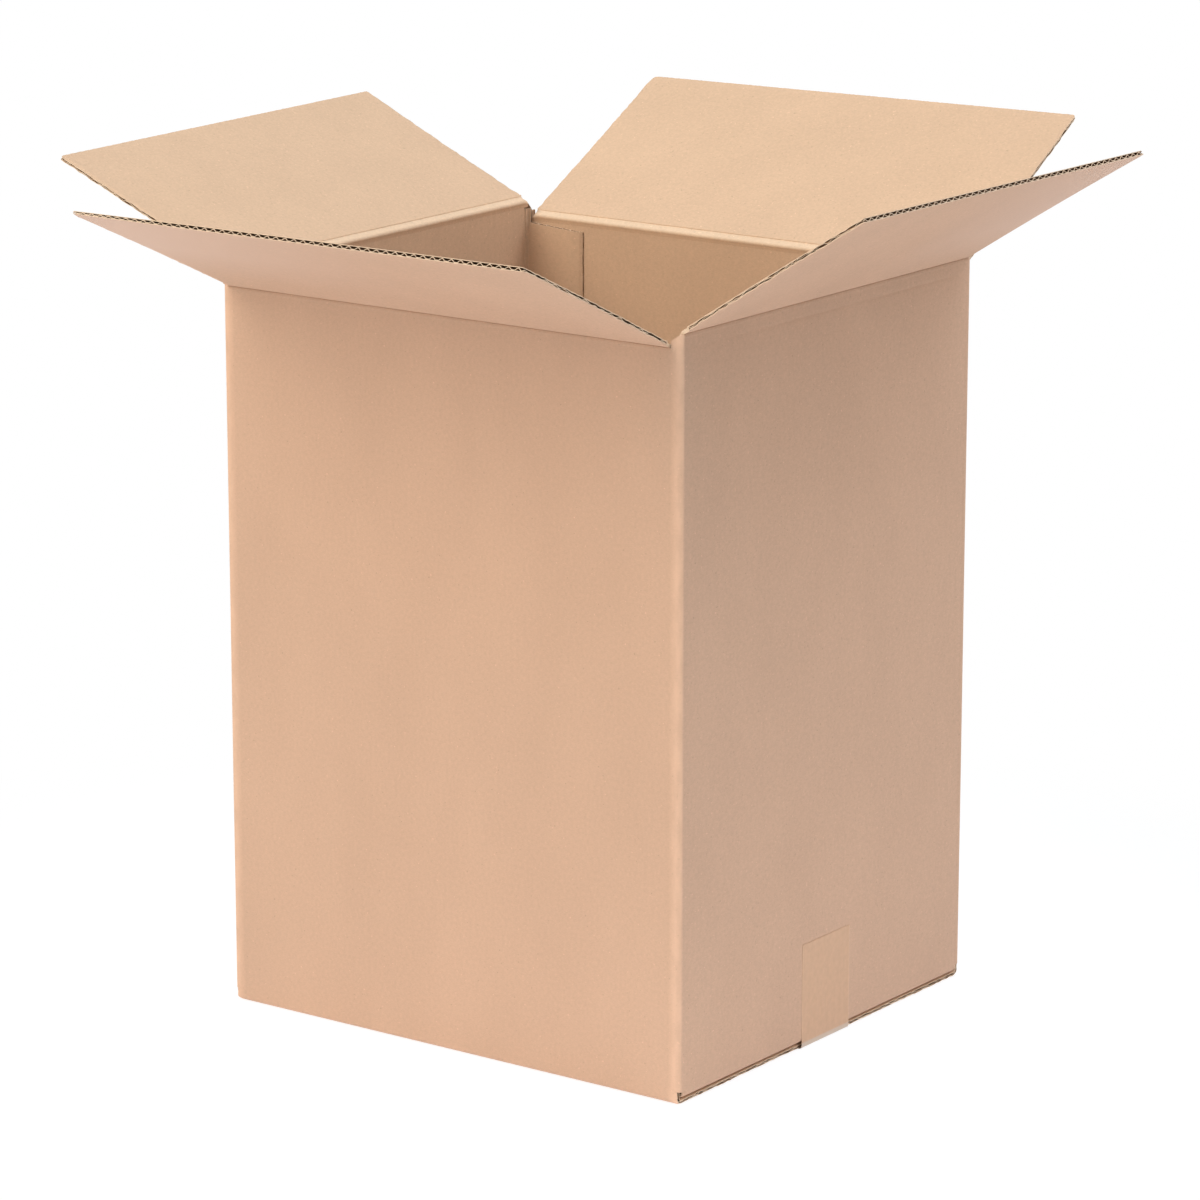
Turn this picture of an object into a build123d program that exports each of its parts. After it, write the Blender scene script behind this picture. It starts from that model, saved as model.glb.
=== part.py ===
from build123d import *
import os
from math import cos, radians, sin

# Open slotted shipping box, folded from one blank of single-wall corrugated board.
# The flutes of the board run upright in the walls. Sizes are in millimetres.
# The origin is the middle of the base, on the floor. X runs along the two long panels,
# Y along the two end panels, and Z is up. The front long panel faces -Y.

# Outside size of the erected box
box_length = 332.0
box_width = 300.0
fold_height = 442.0         # floor to the fold of the front and back flaps
end_fold_rise = 8.5         # the end flaps fold this much higher up

# Board
board = 3.0                 # thickness, liner to liner
liner = 0.4                 # each of the two flat papers
flute_pitch = 6.4           # crest to crest of the wavy paper, before it is fitted to a flap
flute_crest = 0.7           # flat that a crest presses against its liner
flute_paper = 0.6           # wavy paper, measured along the liner

# Folds and cuts
corner_bend = 5.0           # outside radius of the upright corners
floor_bend = 4.0            # outside radius where a wall turns under
floor_bend_rise = 0.5       # straight wall between a bend and the foot of the corners
crease_reach = 4.0          # board crushed by the scoring wheel, each side of a fold
crease_web = 0.4            # paper left at the fold
crease_gap = 0.5            # half of the slit at the fold
flute_start = 1.5           # whole board between the crushed strip and the open flutes
long_slot_room = 3.0        # a long flap clears the inside of the end panels by this much
long_slot_side = 0.5        # the wall's crushed strip runs this much past each end of the flap
front_flap_shift = 2.3      # the front flap was cut this much nearer to the left corner
end_slot_room = 0.5         # an end flap clears the inside of the long panels by this much
slot_rise = 2.5             # the slots stop this far above the fold of the long flaps
seam_gap = 4.0              # long flaps stay this far apart when they meet
score_depth = 0.2           # pressed line on the end panels, below the fold
score_width = 3.0
score_below_fold = 8.8

# Bottom
ply_gap = 0.5               # slit between the outer and the inner bottom flaps
outer_floor_inset = 2.0     # outer bottom flaps stop short of the end panels' faces
inner_floor_inset = 4.0     # inner bottom flaps stop short of the long panels' faces

# Glue tab, a continuation of the left panel glued inside the back panel
tab_width = 46.0
tab_neck = 2.0              # full height of the tab beyond the raw edge of the back panel
tab_drop = 4.0              # tab starts this far from the fold at the corner
tab_taper = 2.5             # and this much further away at its cut edge
open_flute_depth = 1.2      # flute laid open along an upright cut edge

# Tape along the bottom seam and up both end panels
tape_width = 50.0
tape_thickness = 0.15
tape_climb = 65.0

# Lean of each flap from upright, outwards, in degrees
front_lean = 64.5
back_lean = 60.0
right_lean = 58.0
left_lean = 66.0

# Sizes that follow
half_length = box_length / 2
half_width = box_width / 2
end_fold_height = fold_height + end_fold_rise
long_flap_width = box_length - 2 * (board + long_slot_room)
end_flap_width = box_width - 2 * (board + end_slot_room)
long_flap_length = half_width - seam_gap / 2
end_flap_length = long_flap_length - end_fold_rise
inner_floor_level = board + ply_gap
wall_foot = inner_floor_level + floor_bend + floor_bend_rise
inner_floor_length = long_flap_length - inner_floor_level
back_raw_edge = -half_length + corner_bend
core = board - 2 * liner


def panel_path():
    """Middle line of the four panels seen from above: left, front, right and back."""
    left = -half_length + board / 2
    right = half_length - board / 2
    front = -half_width + board / 2
    back = half_width - board / 2
    return FilletPolyline(
        (left, 0),
        (left, front),
        (right, front),
        (right, back),
        (back_raw_edge, back),
        radius=corner_bend - board / 2,
    )


def tab_path():
    """Middle line of the left panel as it turns in to become the glue tab."""
    left = -half_length + board / 2
    inside_back = half_width - 1.5 * board
    return FilletPolyline(
        (left, 0),
        (left, inside_back),
        (-half_length + tab_width, inside_back),
        radius=corner_bend - board / 2,
    )


def turned_in(wall, level, reach):
    """Middle line of a wall that turns under to a flap ending at reach from the wall's face."""
    return FilletPolyline(
        (wall - board / 2, wall_foot),
        (wall - board / 2, level + board / 2),
        (wall - reach, level + board / 2),
        radius=floor_bend - board / 2,
    )


def crushed_top(face, fold):
    """Outline of what the scoring wheel takes off the inside of a wall's top edge."""
    return Polyline(
        (face - board - corner_bend, fold - crease_reach),
        (face - board, fold - crease_reach),
        (face - crease_web, fold - crease_gap),
        (face, fold - crease_gap),
        (face, fold + end_fold_rise),
        (face - board - corner_bend, fold + end_fold_rise),
        close=True,
    )


def hinge_plane(origin, along, outward, lean):
    """Plane across a flap at its fold: x runs along the fold and y into the flap's inner side."""
    rise = Vector(*outward) * sin(radians(lean)) + Vector(0, 0, 1) * cos(radians(lean))
    return Plane(origin=origin, x_dir=along, z_dir=rise)


def fluted_section(plane, width):
    """Section through the board: two liners with the wavy paper between them."""
    count = round(width / flute_pitch)
    pitch = width / count
    narrow = flute_crest / 2
    wide = pitch / 2 - narrow - flute_paper
    with BuildSketch(plane) as section:
        with Locations((0, board / 2)):
            Rectangle(width, board)
            with GridLocations(pitch, 1, count + 1, 1):
                Polygon((-narrow, -core / 2), (narrow, -core / 2), (wide, core / 2), (-wide, core / 2),
                        mode=Mode.SUBTRACT)
            with GridLocations(pitch, 1, count, 1):
                Polygon((-wide, -core / 2), (wide, -core / 2), (narrow, core / 2), (-narrow, core / 2),
                        mode=Mode.SUBTRACT)
    return section.sketch


def crushed_root(plane):
    """Outline of a flap's root, from the thin web at the fold to the whole board."""
    side = Plane(origin=plane.origin, x_dir=plane.y_dir, z_dir=plane.x_dir)
    with BuildSketch(side) as root:
        with BuildLine():
            Polyline(
                (0, crease_gap),
                (crease_web, crease_gap),
                (board, crease_reach),
                (board, crease_reach + flute_start),
                (0, crease_reach + flute_start),
                close=True,
            )
        make_face()
    return root.sketch


front_hinge = hinge_plane((-front_flap_shift, -half_width, fold_height), (1, 0, 0), (0, -1, 0), front_lean)
back_hinge = hinge_plane((0, half_width, fold_height), (-1, 0, 0), (0, 1, 0), back_lean)
right_hinge = hinge_plane((half_length, 0, end_fold_height), (0, 1, 0), (1, 0, 0), right_lean)
left_hinge = hinge_plane((-half_length, 0, end_fold_height), (0, -1, 0), (-1, 0, 0), left_lean)
fluted_from = crease_reach + flute_start

# Four walls, the glue tab and the four folded bottom flaps, all one sheet
with BuildPart() as box_shell:
    with BuildSketch(Plane.XY.offset(wall_foot)):
        with BuildLine():
            panel_path()
        trace(line_width=board)
        with BuildLine():
            tab_path()
        trace(line_width=board)
    extrude(amount=end_fold_height - crease_gap - wall_foot)

    # Outer bottom flaps, turned in from the front and back panels
    with BuildSketch(Plane.YZ):
        with BuildLine():
            turned_in(half_width, 0, long_flap_length)
        trace(line_width=board)
        mirror(about=Plane.YZ)
    extrude(amount=half_length - outer_floor_inset, both=True)

    # Inner bottom flaps, turned in from the end panels above the outer ones
    with BuildSketch(Plane.XZ):
        with BuildLine():
            turned_in(half_length, inner_floor_level, inner_floor_length)
        trace(line_width=board)
        mirror(about=Plane.YZ)
    extrude(amount=half_width - inner_floor_inset, both=True)

    # The corners and long panels stop at the bottom of the slots
    with BuildSketch(Plane.XY.offset(fold_height + slot_rise)):
        with Locations((0, half_width), (0, -half_width)):
            Rectangle(box_length, 2 * (board + end_slot_room))
    extrude(amount=end_fold_rise, mode=Mode.SUBTRACT)

    # Crushed folds along the tops of the back and front panels
    with BuildSketch(Plane.YZ):
        with BuildLine():
            crushed_top(half_width, fold_height)
        make_face()
    extrude(amount=long_flap_width / 2 + long_slot_side, both=True, mode=Mode.SUBTRACT)
    with BuildSketch(Plane(origin=(-front_flap_shift, 0, 0), x_dir=(0, -1, 0), z_dir=(-1, 0, 0))):
        with BuildLine():
            crushed_top(half_width, fold_height)
        make_face()
    extrude(amount=long_flap_width / 2 + long_slot_side, both=True, mode=Mode.SUBTRACT)

    # Crushed folds along the tops of the end panels
    with BuildSketch(Plane.XZ):
        with BuildLine():
            crushed_top(half_length, end_fold_height)
        make_face()
        mirror(about=Plane.YZ)
    extrude(amount=end_flap_width / 2, both=True, mode=Mode.SUBTRACT)

    # Pressed score line across each end panel, a little below the fold
    with BuildSketch(Plane.XZ):
        with Locations((half_length, end_fold_height - score_below_fold)):
            Polygon((0, score_width / 2), (-score_depth, 0), (0, -score_width / 2), align=None)
        mirror(about=Plane.YZ)
    extrude(amount=end_flap_width / 2, both=True, mode=Mode.SUBTRACT)

    # Slanted ends of the glue tab, and the flute laid open along its cut edge
    tab_start = back_raw_edge + tab_neck
    tab_end = -half_length + tab_width
    tab_top = fold_height - tab_drop
    tab_foot = inner_floor_level + board + tab_drop
    with BuildSketch(Plane.XZ.offset(-half_width + board)):
        with BuildLine():
            Polyline(
                (tab_start, end_fold_height),
                (tab_start, tab_top),
                (tab_end, tab_top - tab_taper),
                (tab_end, end_fold_height),
                close=True,
            )
        make_face()
    extrude(amount=board, mode=Mode.SUBTRACT)
    with BuildSketch(Plane.XZ.offset(-half_width + board)):
        with BuildLine():
            Polyline(
                (tab_start, wall_foot),
                (tab_start, tab_foot),
                (tab_end, tab_foot + tab_taper),
                (tab_end, wall_foot),
                close=True,
            )
        make_face()
    extrude(amount=board, mode=Mode.SUBTRACT)
    with BuildSketch(Plane.XY.offset(wall_foot)):
        with Locations((tab_end, half_width - 1.5 * board), (back_raw_edge, half_width - board / 2)):
            Rectangle(2 * open_flute_depth, core)
    extrude(amount=fold_height - wall_foot, mode=Mode.SUBTRACT)

    # Flutes laid open along the sides of the outer bottom flaps
    with BuildSketch(Plane.XZ):
        with Locations((half_length - outer_floor_inset, board / 2)):
            Rectangle(2 * open_flute_depth, core)
        mirror(about=Plane.YZ)
    extrude(amount=half_width - floor_bend, both=True, mode=Mode.SUBTRACT)

    # The tape lies pressed into the underside, flush with it
    with BuildSketch(Plane.XY):
        Rectangle(box_length, tape_width)
    extrude(amount=tape_thickness, mode=Mode.SUBTRACT)

# The four top flaps, each a fluted panel that thins to its fold
with BuildPart() as front_flap:
    extrude(crushed_root(front_hinge), amount=long_flap_width / 2, both=True)
    extrude(fluted_section(front_hinge.offset(fluted_from), long_flap_width),
            amount=long_flap_length - fluted_from)

with BuildPart() as back_flap:
    extrude(crushed_root(back_hinge), amount=long_flap_width / 2, both=True)
    extrude(fluted_section(back_hinge.offset(fluted_from), long_flap_width),
            amount=long_flap_length - fluted_from)

with BuildPart() as right_flap:
    extrude(crushed_root(right_hinge), amount=end_flap_width / 2, both=True)
    extrude(fluted_section(right_hinge.offset(fluted_from), end_flap_width),
            amount=end_flap_length - fluted_from)

with BuildPart() as left_flap:
    extrude(crushed_root(left_hinge), amount=end_flap_width / 2, both=True)
    extrude(fluted_section(left_hinge.offset(fluted_from), end_flap_width),
            amount=end_flap_length - fluted_from)

# One strip of tape, from one end panel, under the box and up the other
with BuildPart() as bottom_tape:
    with BuildSketch(Plane.XZ):
        with BuildLine():
            FilletPolyline(
                (-half_length - tape_thickness / 2, tape_climb),
                (-half_length - tape_thickness / 2, tape_thickness / 2),
                (half_length + tape_thickness / 2, tape_thickness / 2),
                (half_length + tape_thickness / 2, tape_climb),
                radius=outer_floor_inset + tape_thickness / 2,
            )
        trace(line_width=tape_thickness)
    extrude(amount=tape_width / 2, both=True)

box_shell.part.label = "box_shell"
front_flap.part.label = "front_flap"
back_flap.part.label = "back_flap"
right_flap.part.label = "right_flap"
left_flap.part.label = "left_flap"
bottom_tape.part.label = "bottom_tape"

os.makedirs("parts", exist_ok=True)
export_step(box_shell.part, "parts/box_shell.step")
export_step(front_flap.part, "parts/front_flap.step")
export_step(back_flap.part, "parts/back_flap.step")
export_step(right_flap.part, "parts/right_flap.step")
export_step(left_flap.part, "parts/left_flap.step")
export_step(bottom_tape.part, "parts/bottom_tape.step")
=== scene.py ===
# %% [markdown]
# # An open cardboard box
# The object is a slotted shipping box, folded from one sheet of single-wall corrugated board.
# Its four top flaps stand open and lean outwards, and one strip of tape closes its bottom.
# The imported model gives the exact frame. This script dresses it: the board's two papers with
# the wavy paper between them, the crushed folds, the frayed cut edges and the tape.

import math

import bpy
import numpy as np
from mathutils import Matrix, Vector


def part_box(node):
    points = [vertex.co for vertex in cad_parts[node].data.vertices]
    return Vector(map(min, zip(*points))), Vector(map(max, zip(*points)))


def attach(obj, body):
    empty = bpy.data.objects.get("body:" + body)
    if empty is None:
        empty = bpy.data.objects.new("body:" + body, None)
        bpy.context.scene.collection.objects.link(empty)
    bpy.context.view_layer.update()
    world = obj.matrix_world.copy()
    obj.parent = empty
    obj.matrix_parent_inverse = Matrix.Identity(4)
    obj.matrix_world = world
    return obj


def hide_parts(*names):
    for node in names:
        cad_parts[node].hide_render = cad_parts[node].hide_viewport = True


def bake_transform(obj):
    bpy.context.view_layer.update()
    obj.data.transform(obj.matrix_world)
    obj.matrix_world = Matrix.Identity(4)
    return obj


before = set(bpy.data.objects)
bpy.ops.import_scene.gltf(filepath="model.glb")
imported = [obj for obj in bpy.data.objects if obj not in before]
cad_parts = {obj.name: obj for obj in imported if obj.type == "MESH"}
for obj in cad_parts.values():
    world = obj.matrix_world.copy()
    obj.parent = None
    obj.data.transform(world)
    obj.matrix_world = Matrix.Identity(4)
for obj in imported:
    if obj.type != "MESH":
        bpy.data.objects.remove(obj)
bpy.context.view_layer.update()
mm = 0.001

# %% [markdown]
# The board has a few sizes that every piece shares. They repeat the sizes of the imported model:
# the outside of the box, the heights of the two pairs of folds, and the board's thickness.
# Keeping them in one place means that the papers, folds and edges meet each other.

# %% Sizes of the box and its board
shell_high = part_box("box_shell")[1]
half_length = shell_high.x
half_width = shell_high.y
long_fold = 442 * mm
end_fold = 450.5 * mm
board = 3 * mm
liner = 0.4 * mm
flute_pitch = 6.4 * mm
corner_bend = 5 * mm
print("box", 2 * half_length, "by", 2 * half_width, "folds at", long_fold, end_fold)

# %% [markdown]
# ## Camera
# The photograph looks down a little on the near upright corner, with a long lens, so the sides
# barely draw together. The camera's place was found by fitting the corners of the box in the
# photograph to the corners of the model, so it is written here as measured numbers.

# %% Camera
camera_place = (1.79266, -2.45645, 1.0036)
camera_azimuth = math.radians(36.12)
camera_tilt = math.radians(14.01)
camera = bpy.data.objects.new("camera", bpy.data.cameras.new("camera"))
bpy.context.scene.collection.objects.link(camera)
camera.location = camera_place
camera.rotation_euler = (math.pi / 2 - camera_tilt, 0, camera_azimuth)
camera.data.sensor_width = 36
camera.data.lens = 155.99
camera.data.clip_start = 0.1
camera.data.clip_end = 50
bpy.context.scene.camera = camera
bpy.context.scene.view_settings.view_transform = "Standard"
print("camera at", tuple(camera.location), "lens", camera.data.lens)

# %% [markdown]
# ## Lamps
# The photograph was taken in a bright studio with large soft lamps and a white sweep. A warm
# lamp in front and to the left gives the front panel more light than the end panel. A very
# large cool lamp overhead lights the open flaps from above and leaves shade below their folds,
# and a third one, high on the right, reaches the inside of the left flap and the end panel.
# Point lamps could light the box too, but their shadows would be harder than the photograph's.

# %% Lamps


def lamp(name, place, aim, size, power, colour):
    """A square soft lamp that points at aim."""
    data = bpy.data.lights.new(name, "AREA")
    data.shape = "SQUARE"
    data.size = size
    data.energy = power
    data.color = colour
    made = bpy.data.objects.new(name, data)
    bpy.context.scene.collection.objects.link(made)
    made.location = place
    made.rotation_mode = "QUATERNION"
    made.rotation_quaternion = (Vector(aim) - Vector(place)).to_track_quat("-Z", "Y")
    print(name, "of", power, "watts")


floor_middle = (0, 0, 0)
box_middle = (0, 0, 0.25)
lamp("soft_key", (-1.2, -3.0, 2.6), box_middle, size=2.4, power=83, colour=(1.13, 1.0, 0.83))
lamp("soft_overhead", (0, 0, 3.6), floor_middle, size=4.5, power=71, colour=(0.81, 1.0, 1.15))
lamp("soft_side", (2.2, 1.2, 3.0), box_middle, size=2.4, power=47, colour=(1.05, 1.0, 1.0))

# %% [markdown]
# ## Shader nodes
# The world, the floor and the papers are all made of shader nodes. A few helpers add one node,
# do one step of arithmetic, or let a value rise in a straight line between two places, so that
# the cells below say what a finish looks like and not how its nodes are wired.

# %% Node helpers


def node(tree, kind, **settings):
    """A new shader node with the named inputs or properties set."""
    made = tree.nodes.new(kind)
    for key, value in settings.items():
        if key in made.inputs:
            made.inputs[key].default_value = value
        else:
            setattr(made, key, value)
    return made


def maths(tree, kind, *values, clamp=False):
    """One step of arithmetic. Each value is a socket or a plain number."""
    made = node(tree, "ShaderNodeMath", operation=kind, use_clamp=clamp)
    for socket, value in zip(made.inputs, values):
        if isinstance(value, bpy.types.NodeSocket):
            tree.links.new(value, socket)
        else:
            socket.default_value = value
    return made.outputs[0]


def rise(tree, value, start, run):
    """0 before start, a straight line up to 1 at start + run, and 1 past it. run may be negative."""
    return maths(tree, "MULTIPLY_ADD", value, 1 / run, -start / run, clamp=True)


def xyz(tree, vector):
    """The sockets of a vector's three parts."""
    made = node(tree, "ShaderNodeSeparateXYZ")
    tree.links.new(vector, made.inputs[0])
    return made.outputs


def mix_shaders(tree, factor, first, second):
    """One shader that goes from the first node to the second as the factor goes from 0 to 1."""
    made = node(tree, "ShaderNodeMixShader")
    for socket, value in zip(made.inputs, (factor, first.outputs[0], second.outputs[0])):
        tree.links.new(value, socket)
    return made.outputs[0]


# %% [markdown]
# ## World
# The world fills in from all sides with a faint light. Where the camera looks past the box it
# is plain white, as the photograph's background is, and so it is in a reflection.

# %% World
world = bpy.data.worlds.new("studio")
bpy.context.scene.world = world
world.use_nodes = True
sky = world.node_tree
sky.nodes.clear()
ray = node(sky, "ShaderNodeLightPath")
seen = maths(sky, "MAXIMUM", ray.outputs["Is Camera Ray"], ray.outputs["Is Glossy Ray"])
seen = maths(sky, "MAXIMUM", seen, ray.outputs["Is Transmission Ray"])
soft = node(sky, "ShaderNodeBackground", Color=(0.99, 1.0, 0.94, 1), Strength=0.27)
white = node(sky, "ShaderNodeBackground", Color=(1, 1, 1, 1), Strength=1.0)
world_out = node(sky, "ShaderNodeOutputWorld")
sky.links.new(mix_shaders(sky, seen, soft, white), world_out.inputs["Surface"])
print("world", world.name, "of", len(sky.nodes), "nodes")

# %% [markdown]
# ## Floor
# The floor is a sheet of pale paint. Close to the box it glows a little, as a lit sweep does,
# which brightens the foot of the walls and the undersides of the flaps. The camera sees it fade
# to plain white away from the box, and its soft shadow stays where the box stands.

# %% Floor sheet
floor_reach = 6.0
floor_corners = [(x * floor_reach, y * floor_reach, 0) for x, y in ((-1, -1), (1, -1), (1, 1), (-1, 1))]
floor_mesh = bpy.data.meshes.new("studio_floor")
floor_mesh.from_pydata(floor_corners, [], [(0, 1, 2, 3)])
floor = bpy.data.objects.new("studio_floor", floor_mesh)
bpy.context.scene.collection.objects.link(floor)
print("floor", floor.name, "reaches", floor_reach)

# %% Floor paint
floor_paint = bpy.data.materials.new("pale_floor")
floor_paint.use_nodes = True
floor_tree = floor_paint.node_tree
floor_shader = floor_tree.nodes["Principled BSDF"]
floor_shader.inputs["Base Color"].default_value = (0.93, 0.93, 0.93, 1)
floor_shader.inputs["Roughness"].default_value = 0.9
floor_shader.inputs["Specular IOR Level"].default_value = 0.1
floor_shader.inputs["Emission Color"].default_value = (0.92, 1.0, 1.10, 1)
from_box = node(floor_tree, "ShaderNodeVectorMath", operation="LENGTH")
floor_tree.links.new(node(floor_tree, "ShaderNodeTexCoord").outputs["Object"], from_box.inputs[0])


def fade(start, end, first, last):
    """A value that goes smoothly from first to last with the distance from the box's middle."""
    made = node(floor_tree, "ShaderNodeMapRange", interpolation_type="SMOOTHSTEP")
    for key, value in (("From Min", start), ("From Max", end), ("To Min", first), ("To Max", last)):
        made.inputs[key].default_value = value
    floor_tree.links.new(from_box.outputs["Value"], made.inputs["Value"])
    return made.outputs["Result"]


glow = fade(start=0.28, end=0.72, first=0.39, last=0.0)
whiteness = fade(start=0.20, end=0.62, first=0.55, last=1.0)
floor_tree.links.new(glow, floor_shader.inputs["Emission Strength"])
sweep = node(floor_tree, "ShaderNodeEmission", Strength=1.0)
floor_ray = node(floor_tree, "ShaderNodeLightPath")
to_white = maths(floor_tree, "MULTIPLY", floor_ray.outputs["Is Camera Ray"], whiteness)
floor_out = floor_tree.nodes["Material Output"]
floor_tree.links.new(mix_shaders(floor_tree, to_white, floor_shader, sweep), floor_out.inputs["Surface"])
floor_mesh.materials.append(floor_paint)
print("paint", floor_paint.name, "of", len(floor_tree.nodes), "nodes")

# %% [markdown]
# ## Kraft paper
# The outside and inside of the board are brown kraft paper. Close up it is matted wood fibre:
# a fine grain that runs across the flutes, soft cloudy patches, and a few dark and pale specks.
# A photograph of paper could be laid on, but noise in the object's own space needs no picture,
# has no seams, and stays on the board when a flap turns.

# %% Noise and colour helpers


def noise(tree, coordinates, stretch, scale, detail=2.0, roughness=0.5):
    """Noise in the object's space, stretched by three factors."""
    mapping = node(tree, "ShaderNodeMapping")
    mapping.inputs["Scale"].default_value = stretch
    tree.links.new(coordinates, mapping.inputs["Vector"])
    made = node(tree, "ShaderNodeTexNoise", Scale=scale, Detail=detail, Roughness=roughness)
    tree.links.new(mapping.outputs["Vector"], made.inputs["Vector"])
    return made.outputs["Fac"]


def ramp(tree, value, *stops):
    """A ramp of greys through two stops of position and grey."""
    made = node(tree, "ShaderNodeValToRGB")
    for element, (position, grey) in zip(made.color_ramp.elements, stops):
        element.position = position
        element.color = (grey, grey, grey, 1)
    tree.links.new(value, made.inputs["Fac"])
    return made.outputs["Color"]


def mix(tree, kind, factor, first, second):
    """Mixes two colours. Each input is a socket or a plain value."""
    made = node(tree, "ShaderNodeMix", data_type="RGBA", blend_type=kind)
    for socket, value in ((made.inputs[0], factor), (made.inputs[6], first), (made.inputs[7], second)):
        if isinstance(value, bpy.types.NodeSocket):
            tree.links.new(value, socket)
        elif isinstance(value, float):
            socket.default_value = value
        else:
            socket.default_value = (*value, 1)
    return made.outputs[2]


def mottle(tree, tone, value, darkest):
    """A tone that is darkened to the share darkest where a noise is low."""
    return mix(tree, "MULTIPLY", 1.0, tone, ramp(tree, value, (0.3, darkest), (0.7, 1.0)))


def linear(red, green, blue):
    """A colour as read on screen, 0 to 255, as the linear values that a shader takes."""
    return tuple(
        c / 12.92 if c <= 0.04045 else ((c + 0.055) / 1.055) ** 2.4
        for c in (red / 255, green / 255, blue / 255))


def shade(colour, factor):
    """A colour made darker or lighter by a factor."""
    return tuple(min(1.0, c * factor) for c in colour)


# %% [markdown]
# A used box isn't one even brown. Its upright corners are paler in patches: partly rubbed paper, partly a
# painted highlight on the corner bends. The outer faces of the flaps have a painted cool, pale light on them
# away from the near corner, which makes them look greyer there. Both are soft masks over the paper's colour,
# so no picture has to be painted.

# %% Masks of wear and painted light
wear_and_highlight_tone = 1.25
corner_mark_from_x, corner_mark_run_x = half_length - 8.5 * mm, 5 * mm
corner_mark_from_y, corner_mark_run_y = half_width - 2.8 * mm, 1.2 * mm
tip_light_start, tip_light_run = 0.16, 0.17
flap_clear, flap_run = 2 * mm, 25 * mm


def corner_wear_and_highlight(tree, place, tone, colour, wear_and_highlight):
    """Paler patches up the four upright corners, mostly on the faces of the long panels: partly rubbed
    paper, partly a painted highlight.
    """
    x, y, _ = xyz(tree, place)
    across = rise(tree, maths(tree, "ABSOLUTE", x), corner_mark_from_x, corner_mark_run_x)
    along = rise(tree, maths(tree, "ABSOLUTE", y), corner_mark_from_y, corner_mark_run_y)
    patches = ramp(tree, noise(tree, place, (1, 1, 0.35), 160), (0.35, 0.55), (0.6, 1.0))
    corner_mark = maths(tree, "MULTIPLY", maths(tree, "MULTIPLY", across, along),
                 maths(tree, "MULTIPLY", patches, wear_and_highlight))
    # Partly rubbed paper, partly a painted highlight on the corner bends.
    return mix(tree, "MIX", corner_mark, tone, shade(colour, wear_and_highlight_tone))


def painted_tip_light(tree, place, tone, tip_light_tone):
    """Painted cool light: a greyer, paler tone on the flaps, away from the near corner."""
    flat = node(tree, "ShaderNodeVectorMath", operation="MULTIPLY")
    tree.links.new(place, flat.inputs[0])
    flat.inputs[1].default_value = (1, 1, 0)
    away = node(tree, "ShaderNodeVectorMath", operation="DISTANCE")
    tree.links.new(flat.outputs[0], away.inputs[0])
    away.inputs[1].default_value = (half_length, -half_width, 0)
    reach = rise(tree, away.outputs["Value"], tip_light_start, tip_light_run)
    on_flap = rise(tree, xyz(tree, place)[2], end_fold + flap_clear, flap_run)
    # Painted cool, pale light on the outer faces of the flaps.
    return mix(tree, "MIX", maths(tree, "MULTIPLY", reach, on_flap), tone, tip_light_tone)


# %% [markdown]
# The papers of the board are one recipe in five tones: the outside, the inside, the wavy paper, which is
# darker and coarser, the pale bare fibre of cut edges, and the pale fibre of stretched folds, made paler
# still as a painted sheen.

# %% Kraft paper


def kraft(name, colour, fibre=0.10, wear_and_highlight=0.0, tip_light_tone=None):
    """Uncoated kraft paper. fibre is how dark its grain is, as a share of its colour.

    Two settings add more: how pale the upright corners are, partly rubbed paper and partly a painted
    highlight, and the tone of a painted cool light on the flaps' far tips.
    """
    material = bpy.data.materials.new(name)
    material.use_nodes = True
    tree = material.node_tree
    shader = tree.nodes["Principled BSDF"]
    place = node(tree, "ShaderNodeTexCoord").outputs["Object"]
    fibres = noise(tree, place, (0.4, 0.4, 1.3), 1500, detail=3.0, roughness=0.62)
    matting = noise(tree, place, (1, 1, 1), 420, roughness=0.6)
    clouds = noise(tree, place, (1, 1, 0.5), 22, detail=3.0, roughness=0.55)
    specks = noise(tree, place, (1, 1, 1), 640, detail=0.0)
    tone = mottle(tree, colour, fibres, 1.0 - fibre)
    tone = mottle(tree, tone, matting, 1.0 - fibre * 0.7)
    tone = mottle(tree, tone, clouds, 0.95)
    tone = mix(tree, "MIX", ramp(tree, specks, (0.79, 0.0), (0.83, 0.55)), tone, shade(colour, 0.62))
    tone = mix(tree, "MIX", ramp(tree, specks, (0.17, 0.5), (0.21, 0.0)), tone, shade(colour, 1.22))
    if wear_and_highlight:
        tone = corner_wear_and_highlight(tree, place, tone, colour, wear_and_highlight)
    if tip_light_tone:
        tone = painted_tip_light(tree, place, tone, tip_light_tone)
    tree.links.new(tone, shader.inputs["Base Color"])
    tree.links.new(ramp(tree, matting, (0.2, 0.82), (0.8, 0.95)), shader.inputs["Roughness"])
    shader.inputs["Specular IOR Level"].default_value = 0.22
    bump = node(tree, "ShaderNodeBump", Strength=0.25, Distance=0.4 * mm)
    tree.links.new(fibres, bump.inputs["Height"])
    tree.links.new(bump.outputs["Normal"], shader.inputs["Normal"])
    return material


papers = (
    # The outside paper has painted light on it: a highlight, with real wear, up the corners, and a cool pale
    # light on the flaps' far tips.
    kraft("kraft_outside", linear(217, 180, 155), wear_and_highlight=0.6, tip_light_tone=linear(217, 186, 168)),
    kraft("kraft_inside", linear(222, 188, 158)),
    kraft("kraft_flute", linear(168, 128, 98), fibre=0.2),
    kraft("kraft_cut_edge", linear(240, 212, 184), fibre=0.14),
    # Stretched paper of the folds, paler partly as a painted sheen.
    kraft("kraft_fold_and_sheen", linear(234, 203, 173)),
)
outside, inside, flute, cut_edge, stretched_and_sheen = range(5)
print("papers", [m.name for m in papers])

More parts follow.
